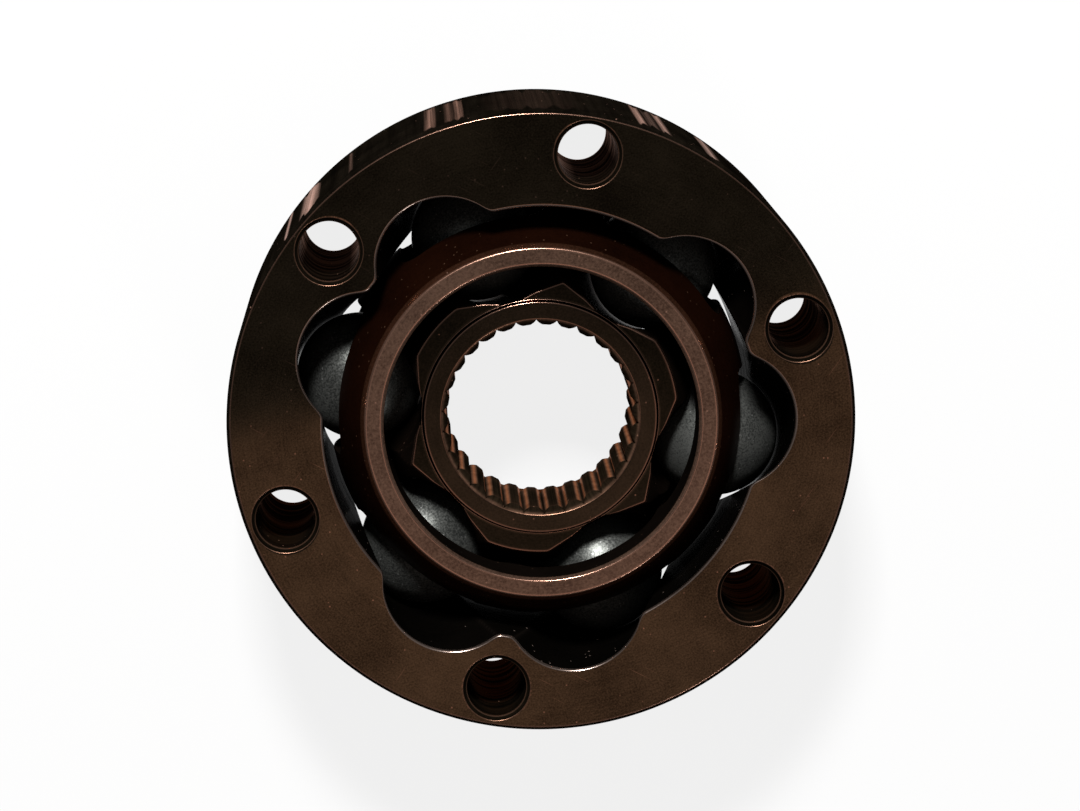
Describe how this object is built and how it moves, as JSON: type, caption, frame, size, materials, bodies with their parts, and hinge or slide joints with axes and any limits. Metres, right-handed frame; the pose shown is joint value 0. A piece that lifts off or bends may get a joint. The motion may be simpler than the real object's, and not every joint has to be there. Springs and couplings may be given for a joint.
{
  "type": "constant velocity joint",
  "caption": "Cross-groove constant velocity joint: a bolted outer race and a splined inner race with skewed tracks, and balls held between them in a windowed cage.",
  "frame": {"origin": "centre of the joint, where the plane of the balls crosses the joint axis", "axes": "+Z along the joint axis out of the front face, the side the shaft enters from; +X through the middle of a bolt hole; +Y through the centre of a ball"},
  "size_m": [0.108, 0.108, 0.0426],
  "materials": {
    "race_steel": "ground and oiled",
    "cage_steel": "ground and oiled",
    "star_steel": "machined and oiled",
    "ball_steel": "hardened, satin"
  },
  "bodies": {
    "outer_race": {"outer_race": "race_steel"},
    "cage": {"cage": "cage_steel"},
    "inner_race": {"inner_race": "star_steel"},
    "ball_1": {"ball_1": "ball_steel"},
    "ball_2": {"ball_2": "ball_steel"},
    "ball_3": {"ball_3": "ball_steel"},
    "ball_4": {"ball_4": "ball_steel"},
    "ball_5": {"ball_5": "ball_steel"},
    "ball_6": {"ball_6": "ball_steel"}
  },
  "joints": [
    {"name": "cage_tilt", "type": "hinge", "parent": "outer_race", "child": "cage", "pos_m": [0, 0, 0], "axis": [1, 0, 0], "range_deg": [-9, 9]},
    {"name": "inner_race_tilt", "type": "hinge", "parent": "cage", "child": "inner_race", "pos_m": [0, 0, 0], "axis": [1, 0, 0], "range_deg": [-9.1, 9.1]},
    {"name": "ball_1_slide", "type": "slide", "parent": "outer_race", "child": "ball_1", "axis": [0.1336, -0.2314, 0.9636], "range_m": [-0.0026, 0.0026]},
    {"name": "ball_2_slide", "type": "slide", "parent": "outer_race", "child": "ball_2", "axis": [-0.2672, 0, 0.9636], "range_m": [-0.00519, 0.00519]},
    {"name": "ball_3_slide", "type": "slide", "parent": "outer_race", "child": "ball_3", "axis": [0.1336, 0.2314, 0.9636], "range_m": [-0.0026, 0.0026]},
    {"name": "ball_4_slide", "type": "slide", "parent": "outer_race", "child": "ball_4", "axis": [0.1336, -0.2314, 0.9636], "range_m": [-0.0026, 0.0026]},
    {"name": "ball_5_slide", "type": "slide", "parent": "outer_race", "child": "ball_5", "axis": [-0.2672, 0, 0.9636], "range_m": [-0.00519, 0.00519]},
    {"name": "ball_6_slide", "type": "slide", "parent": "outer_race", "child": "ball_6", "axis": [0.1336, 0.2314, 0.9636], "range_m": [-0.0026, 0.0026]}
  ],
  "couplings": [
    {"joint": "inner_race_tilt", "follows": "cage_tilt", "ratio": 1},
    {"joint": "ball_1_slide", "follows": "cage_tilt", "m_per_rad": 0.016474},
    {"joint": "ball_2_slide", "follows": "cage_tilt", "m_per_rad": 0.032948},
    {"joint": "ball_3_slide", "follows": "cage_tilt", "m_per_rad": 0.016474},
    {"joint": "ball_4_slide", "follows": "cage_tilt", "m_per_rad": -0.016474},
    {"joint": "ball_5_slide", "follows": "cage_tilt", "m_per_rad": -0.032948},
    {"joint": "ball_6_slide", "follows": "cage_tilt", "m_per_rad": -0.016474}
  ]
}
